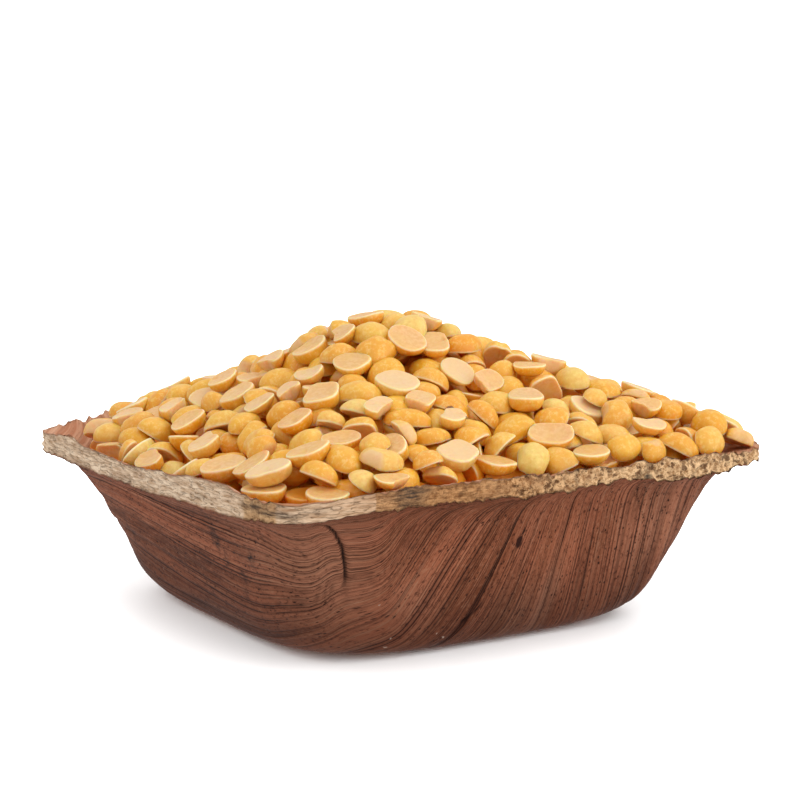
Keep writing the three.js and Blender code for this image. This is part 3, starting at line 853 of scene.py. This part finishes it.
def build_kind(name, tone, pale, broken, peas, rng, material):
    """One object of all the peas of a kind."""
    shapes = [pea_shape(rng, broken) for _ in range(PEA_SHAPES)]
    count = len(shapes[0][0])
    quads, tips = closed_faces(count // PEA_SEGMENTS, PEA_SEGMENTS, flip=True)
    points, faces, values = [], [], []
    for number, (lie, place, size) in enumerate(peas):
        shape, face, rim = shapes[rng.integers(PEA_SHAPES)]
        here = (shape * size * rng.uniform(0.9, 1.07)) @ lie.T + place
        points.append(here)
        faces += (quads + number * count).tolist() + (tips + number * count).tolist()
        values.append({
            "own": shape + rng.uniform(-400, 400, 3),
            "face": face,
            "rim": rim,
            "tone": np.full(count, rng.uniform(*tone)),
            "pale": np.full(count, rng.uniform(*pale)),
            "spot": husk_spot(shape, rng),
            # How far under the heap's surface each point lies, for the painted glow of the deeper peas
            "deep": smoothstep(heap_height(here[:, 0], here[:, 1]) - here[:, 2], *PAINTED_GLOW_DEPTHS),
        })
    joined = {key: np.concatenate([value[key] for value in values]) for key in values[0]}
    return mesh_object(name, np.concatenate(points), faces, material, joined)


def build_peas(material):
    """The peas of the heap, sorted by kind. The small ones are broken."""
    pile = Pile(np.random.default_rng(SEED + 61))
    placed = pile.fill(**WHOLE)
    small = pile.fill(**SMALL)
    rng = np.random.default_rng(SEED + 71)
    shares = np.cumsum([share for _, share, *_ in PEA_KINDS])
    chosen = np.searchsorted(shares, rng.random(len(placed)) * shares[-1])
    made = []
    for number, (name, _, tone, pale, broken) in enumerate(PEA_KINDS):
        peas = [placed[n] for n in np.flatnonzero(chosen == number)] + (small if broken else [])
        made.append(build_kind(name, tone, pale, broken, peas, rng, material))
    return made


class Shader:
    """A material's nodes, made and linked in short calls."""

    def __init__(self, name):
        self.material = bpy.data.materials.new(name)
        self.material.use_nodes = True
        self.nodes = self.material.node_tree.nodes
        self.links = self.material.node_tree.links
        self.nodes.clear()
        self.surface = self.nodes.new("ShaderNodeBsdfPrincipled")
        output = self.nodes.new("ShaderNodeOutputMaterial")
        self.links.new(self.surface.outputs[0], output.inputs["Surface"])

    def set(self, socket, value):
        if isinstance(value, bpy.types.NodeSocket):
            self.links.new(value, socket)
        elif isinstance(value, tuple) and socket.type == "RGBA":
            socket.default_value = (*value, 1)
        else:
            socket.default_value = value

    def make(self, kind, inputs=None, **settings):
        node = self.nodes.new(kind)
        for key, value in settings.items():
            setattr(node, key, value)
        for key, value in (inputs or {}).items():
            self.set(node.inputs[key], value)
        return node

    def finished(self, inputs):
        """The material, once these inputs of its surface are set."""
        for key, value in inputs.items():
            self.set(self.surface.inputs[key], value)
        return self.material

    def attribute(self, name, output="Fac"):
        return self.make("ShaderNodeAttribute", attribute_name=name).outputs[output]

    def math(self, operation, *values):
        return self.make("ShaderNodeMath", dict(enumerate(values)), operation=operation).outputs[0]

    def times(self, value, factor):
        return self.math("MULTIPLY", value, factor)

    def part(self, vector, axis):
        return self.make("ShaderNodeSeparateXYZ", {"Vector": vector}).outputs[axis]

    def stretch(self, vector, scale, offset=(0, 0, 0)):
        inputs = {0: vector, 1: scale, 2: offset}
        return self.make("ShaderNodeVectorMath", inputs, operation="MULTIPLY_ADD").outputs[0]

    def noise(self, vector, scale, offset=(0, 0, 0), detail=3, rough=0.5):
        inputs = {"Vector": self.stretch(vector, scale, offset), "Scale": 1.0, "Detail": detail}
        return self.make("ShaderNodeTexNoise", {**inputs, "Roughness": rough}).outputs["Fac"]

    def band(self, value, low, high, start=0.0, end=1.0):
        inputs = {"Value": value, "From Min": low, "From Max": high, "To Min": start, "To Max": end}
        return self.make("ShaderNodeMapRange", inputs, interpolation_type="SMOOTHSTEP").outputs[0]

    def mix(self, share, a, b, blend="MIX"):
        inputs = {0: share, 6: a, 7: b}
        return self.make("ShaderNodeMix", inputs, data_type="RGBA", blend_type=blend).outputs[2]

    def layers(self, colour, *layers):
        """A colour under layers, each a value, its factor or its band, and a colour of its own."""
        for value, share, layer in layers:
            if isinstance(share, tuple):
                value = self.band(value, *share)
            elif share != 1:
                value = self.times(value, share)
            colour = self.mix(value, colour, layer)
        return colour

    def bump(self, height, distance, strength):
        inputs = {"Height": height, "Distance": distance * MM, "Strength": strength}
        return self.make("ShaderNodeBump", inputs).outputs[0]


def leaf_material():
    """Pressed palm leaf: veined brown outside, tan fibres and crumbs at the cut edge, salmon inside."""
    s = Shader("palm_leaf")
    place = s.attribute("place", "Vector")
    skin, skin_height, broad = leaf_outside(s, place)
    edge, edge_height = leaf_cut(s)
    cut, inside = s.attribute("cut"), s.attribute("inside")
    return s.finished({
        "Base Color": s.layers(skin, (inside, 1, leaf_inside(s, place)), (cut, 1, edge)),
        "Roughness": s.math("ADD", s.band(broad, 0.3, 0.7, 0.5, 0.62), s.times(cut, 0.3)),
        "Specular IOR Level": 0.04,
        "Normal": s.bump(s.mix(cut, skin_height, edge_height), 0.25, 0.8),
    })


# Lines along the leaf's veins, by kind: how far they wander, the space between two and their width in
# mm, the scale on which they come and go, the marks that bring them out and how much, the strengths
# over which they show, and the offsets that keep the kinds apart
VEINS = {
    "dark": (0.6, 1.25, 0.2, (0.8, 0.05, 0.06), "darkened", 0.25, (0.4, 0.6), (0, 11)),
    "fine": (0.5, 0.58, 0.14, (1.4, 0.09, 0.1), "darkened", 0.2, (0.36, 0.56), (70, 23)),
    "pale": (0.6, 0.75, 0.15, (0.6, 0.06, 0.07), "bleached", 0.3, (0.5, 0.7), (90, 41)),
}


def vein_lines(s, place, wander, spacing, width, fade, marks, more, shown, offsets):
    """1 along crisp uneven lines that follow the veins, some of them faint, and 0 between them."""
    drift = s.noise(place, (0.25, 0.035, 0.04), (offsets[0], 0, 0), detail=2)
    across = s.math("MULTIPLY_ADD", drift, wander, s.part(place, 0))
    cells = s.make("ShaderNodeTexVoronoi", {"W": across, "Scale": 1 / spacing}, voronoi_dimensions="1D")
    line = s.band(cells.outputs["Distance"], width / spacing, width / spacing * 0.3)
    line = s.times(line, s.band(cells.outputs["Color"], 0.25, 0.7))
    fading = s.noise(place, fade, (offsets[1], 0, 0), detail=2)
    strength = s.math("MULTIPLY_ADD", s.attribute(marks), more, fading)
    return s.times(line, s.band(strength, *shown))


def leaf_outside(s, place):
    """Colour and relief of the outside, and a broad cloud."""
    groove, stain, knot, fleck = map(s.attribute, ("groove", "stain", "knot", "fleck"))
    dark, fine, pale = (vein_lines(s, place, *VEINS[kind]) for kind in ("dark", "fine", "pale"))
    hairs = s.noise(place, (2.2, 0.05, 0.06), rough=0.7)
    broad = s.noise(place, (0.16, 0.035, 0.05))
    bands = s.noise(place, (0.5, 0.025, 0.03))
    grit = s.noise(place, (1.9, 0.9, 1.1), detail=4, rough=0.8)
    dots = s.make("ShaderNodeTexVoronoi", {"Vector": s.stretch(place, (1.15, 0.7, 0.8)), "Scale": 1.0})
    pits = s.times(s.band(dots.outputs["Distance"], 0.24, 0.096), s.band(dots.outputs["Color"], 0.75, 0.65))
    smudge = s.times(s.band(stain, 0.1, 0.9), s.band(grit, 0.4, 0.6, 0.9, 0.25))
    # Painted shade along the floor of each crease
    crease_shade = s.times(s.attribute("crease"), s.band(s.attribute("crease_gap"), 0.15, 1.5, 1, 0))
    colour = s.layers(
        (0.2, 0.06, 0.026),
        (broad, (0.35, 0.65), (0.35, 0.113, 0.057)),
        (bands, (0.45, 0.66, 0, 0.35), (0.36, 0.13, 0.068)),
        (s.attribute("bleached"), 0.5, (0.42, 0.2, 0.125)),
        (hairs, (0.52, 0.72, 0, 0.65), (0.42, 0.17, 0.088)),
        (hairs, (0.48, 0.28, 0, 0.8), (0.05, 0.013, 0.007)),
        (grit, (0.53, 0.66, 0, 0.55), (0.42, 0.19, 0.11)),
        (grit, (0.47, 0.35, 0, 0.75), (0.035, 0.01, 0.006)),
        (pale, 0.6, (0.42, 0.21, 0.125)),
        (fine, 0.62, (0.035, 0.01, 0.006)),
        (dark, 0.82, (0.022, 0.007, 0.005)),
        (groove, 0.45, (0.04, 0.014, 0.009)),
        (pits, 0.85, (0.02, 0.008, 0.006)),
        (smudge, 1, (0.02, 0.015, 0.014)),
        (knot, (0.3, 0.75, 0, 0.9), (0.02, 0.007, 0.006)),
        # Painted shade in the creases
        (crease_shade, 0.93, (0.012, 0.006, 0.005)),
        # Painted shade, darker towards the foot, and then the crumbs of pith
        (s.part(place, 2), (0, 18, 0.65, 0), (0.03, 0.009, 0.006)),
        (s.math("MULTIPLY_ADD", fleck, 0.6, grit), (0.92, 1.05, 0, 0.8), (0.42, 0.3, 0.24)))
    relief = s.times(hairs, 0.5)
    for line, depth in ((fine, 0.3), (dark, 0.5), (pits, 0.4)):
        relief = s.math("SUBTRACT", relief, s.times(line, depth))
    return colour, s.math("MULTIPLY_ADD", grit, 0.35, relief), broad


def leaf_cut(s):
    """Colour and relief of the cut edge: strips of fibres that lie along it, or crumbs at their ends."""
    place = s.attribute("edge", "Vector")
    squarely, crevice_shade, stain = map(s.attribute, ("squarely", "crevice_shade", "stain"))
    fibres = s.noise(place, (0.45, 0.6, 3.4), detail=2.5, rough=0.6)
    strips = s.noise(place, (0.35, 0.4, 1.5), (7, 0, 0))
    crumbs = s.noise(place, (1.5, 1.0, 1.7), rough=0.7)
    lumps = s.noise(place, (0.75, 0.5, 0.95), (4, 0, 0), detail=4, rough=0.65)
    clouds = s.noise(place, (0.12, 0.2, 0.3), (0, 5, 0))
    browning = s.noise(place, (0.14, 0.2, 0.6), (0, 0, 15))
    # Thin splits, where a noise passes through its middle
    splitting = s.noise(place, (0.3, 0.4, 1.7), (0, 0, 9))
    splits = s.band(s.math("ABSOLUTE", s.math("SUBTRACT", splitting, 0.5)), 0.0, 0.025, 1.0, 0.0)

    shade = s.band(fibres, 0.3, 0.62)
    side = s.layers(
        s.mix(shade, (0.6, 0.39, 0.24), (0.98, 0.76, 0.55)),
        (squarely, (0.0, 0.2), s.mix(shade, (0.34, 0.185, 0.09), (0.8, 0.52, 0.29))),
        (strips, (0.5, 0.66, 0, 0.35), (0.48, 0.29, 0.16)),
        (splits, 0.45, (0.2, 0.11, 0.065)))
    ends = s.layers(
        (0.44, 0.23, 0.1),
        (crumbs, (0.34, 0.6), (0.97, 0.64, 0.35)),
        (lumps, (0.49, 0.38, 0, 0.85), (0.1, 0.045, 0.022)))
    tan = s.layers(
        side,
        (squarely, 1, ends),
        # Painted shade in the hollows of the cut edge
        (s.times(crevice_shade, s.band(squarely, 0, 1, 0.35, 0.6)), 1, (0.12, 0.06, 0.034)),
        (browning, (0.5, 0.68, 0, 0.4), (0.34, 0.175, 0.09)),
        (clouds, (0.62, 0.72, 0, 0.4), (0.13, 0.11, 0.09)))
    tan = s.mix(s.attribute("darkened"), tan, (0.7, 0.55, 0.43), blend="MULTIPLY")
    greyed = s.times(s.band(stain, 0.1, 0.9), s.band(fibres, 0.35, 0.6, 0.95, 0.4))
    side_height = s.math("SUBTRACT", fibres, s.times(splits, 0.4))
    height = s.mix(squarely, side_height, s.math("MULTIPLY_ADD", lumps, 1.5, crumbs))
    return s.mix(greyed, tan, (0.05, 0.04, 0.035)), s.times(height, 2.2)


def leaf_inside(s, place):
    """Colour of the smooth inner skin."""
    veins = s.noise(place, (0.8, 0.06, 0.08), detail=4, rough=0.6)
    clouds = s.noise(place, (0.15, 0.1, 0.1), detail=2)
    return s.layers(
        (0.46, 0.19, 0.1),
        (veins, (0.35, 0.68), (0.68, 0.38, 0.24)),
        (clouds, (0.45, 0.65, 0, 0.4), (0.54, 0.25, 0.12)))


def pea_material():
    """Split pigeon pea: a waxy golden dome and a paler, mealy flat face."""
    s = Shader("split_pea")
    own = s.attribute("own", "Vector")
    face, rim, tone, pale = map(s.attribute, ("face", "rim", "tone", "pale"))
    spot, deep = s.attribute("spot"), s.attribute("deep")
    cloud = s.noise(own, (0.28,) * 3)
    mealy = s.noise(own, (1.3,) * 3, detail=5, rough=0.75)
    floury = s.noise(own, (1.5,) * 3, rough=0.6)
    fine = s.noise(own, (4.5,) * 3, detail=2)
    husk = s.band(s.math("ADD", spot, s.times(mealy, 0.5)), 0.7, 0.85)

    dome = s.layers(
        (0.8, 0.43, 0.02),
        (tone, (0.0, 0.95), (0.79, 0.33, 0.005)),
        (tone, (0.0, -0.5), (0.66, 0.48, 0.06)),
        (cloud, (0.35, 0.65, 0, 0.35), (0.86, 0.46, 0.03)),
        (pale, 0.65, (0.84, 0.59, 0.19)),
        (mealy, (0.48, 0.64, 0, 0.5), (0.91, 0.68, 0.25)),
        (mealy, (0.48, 0.34, 0, 0.3), (0.72, 0.27, 0.005)))
    flat = s.layers(
        (0.72, 0.38, 0.12),
        (floury, (0.35, 0.65), (0.8, 0.49, 0.21)),
        (cloud, (0.4, 0.65, 0, 0.45), (0.78, 0.44, 0.1)),
        (pale, (0, 0.9, 0.05, 0.65), (0.84, 0.62, 0.38)))
    colour = s.layers(
        dome,
        (face, 0.85, flat),
        # A painted highlight, whitish along the bevel between face and dome
        (rim, 0.75, (0.98, 0.87, 0.66)),
        # Painted glow: the deeper peas redder and brighter, for light that passes through the peas above
        (deep, 0.9, (1.0, 0.38, 0.02)),
        (husk, 0.85, (0.16, 0.035, 0.02)))
    return s.finished({
        "Base Color": colour,
        "Roughness": s.band(mealy, 0.35, 0.65, 0.32, 0.52),
        "Subsurface Weight": 0.7,
        "Subsurface Radius": (1.0, 0.45, 0.12),
        "Subsurface Scale": 1.6 * MM,
        "Specular IOR Level": 0.5,
        "Normal": s.bump(s.math("ADD", s.times(mealy, 0.6), s.times(fine, 0.15)), 0.12, 0.4),
    })


def core_material():
    """The shade between the peas."""
    s = Shader("pea_core")
    cloud = s.noise(s.make("ShaderNodeTexCoord").outputs["Object"], (400,) * 3, detail=2)
    return s.finished({"Base Color": s.mix(cloud, (0.6, 0.2, 0.012), (0.7, 0.3, 0.03)), "Roughness": 0.8})


def floor_material():
    return Shader("pale_floor").finished({
        "Base Color": (0.9, 0.9, 0.9), "Roughness": 0.6, "Specular IOR Level": 0.2})


def build_floor():
    """A white floor that takes the dish's shadow, and throws no light back onto it."""
    corners = [(x * FLOOR_HALF, y * FLOOR_HALF, 0) for x, y in ((-1, -1), (1, -1), (1, 1), (-1, 1))]
    floor = mesh_object("floor", corners, [(0, 1, 2, 3)], floor_material(), smooth=False)
    floor.visible_diffuse = False
    floor.visible_glossy = False
    return floor


def soft_sun(name, strength, *degrees):
    """A broad even light from far away, by its spread, azimuth and elevation."""
    spread, azimuth, elevation = map(math.radians, degrees)
    data = bpy.data.lights.new(name, "SUN")
    data.energy = strength
    data.angle = spread
    light = add_object(name, data)
    flat = math.cos(elevation)
    light.location = (math.sin(azimuth) * flat, -math.cos(azimuth) * flat, math.sin(elevation))
    light.rotation_euler = Vector(light.location).to_track_quat("Z", "Y").to_euler()
    return light


def build_lights(floor):
    """A white studio: light from all round, a broad key light, a side light, and one for the floor."""
    world = bpy.data.worlds.new("studio")
    bpy.context.scene.world = world
    world.use_nodes = True
    background = world.node_tree.nodes["Background"].inputs
    background["Color"].default_value = (1, 1, 1, 1)
    background["Strength"].default_value = WORLD_LIGHT
    soft_sun("key_light", *KEY_LIGHT)
    soft_sun("side_light", *SIDE_LIGHT)
    overhead = soft_sun("floor_light", *FLOOR_LIGHT)
    lit = bpy.data.collections.new("lit_by_floor_light")
    lit.objects.link(floor)
    overhead.light_linking.receiver_collection = lit
    bpy.context.scene.view_settings.view_transform = "Standard"


def build_camera():
    az, el = CAMERA_AZIMUTH, CAMERA_ELEVATION
    back = Vector((math.sin(az) * math.cos(el), -math.cos(az) * math.cos(el), math.sin(el)))
    right = Vector((math.cos(az), math.sin(az), 0))
    aim = right * CAMERA_AIM["right"] + Vector((0, 0, CAMERA_AIM["up"]))
    data = bpy.data.cameras.new("camera")
    data.lens = CAMERA_FOCAL
    data.sensor_width = CAMERA_SENSOR
    data.clip_start = 0.01
    data.clip_end = 100
    camera = add_object("camera", data)
    camera.location = (aim + back * CAMERA_DISTANCE) * MM
    camera.rotation_euler = (-back).to_track_quat("-Z", "Y").to_euler()
    bpy.context.scene.camera = camera


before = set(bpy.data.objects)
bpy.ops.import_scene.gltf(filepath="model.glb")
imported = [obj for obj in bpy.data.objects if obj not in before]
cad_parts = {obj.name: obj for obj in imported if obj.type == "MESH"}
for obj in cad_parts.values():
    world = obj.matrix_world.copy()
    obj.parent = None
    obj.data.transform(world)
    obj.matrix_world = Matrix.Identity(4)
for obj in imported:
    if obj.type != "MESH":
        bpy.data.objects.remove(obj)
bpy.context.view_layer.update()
build_camera()
build_lights(build_floor())

dish = build_dish(leaf_material())
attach(dish, "root")
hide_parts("dish")

core = build_core(core_material())
for piece in [core, *build_peas(pea_material())]:
    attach(piece, "root")
    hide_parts("pea_heap")
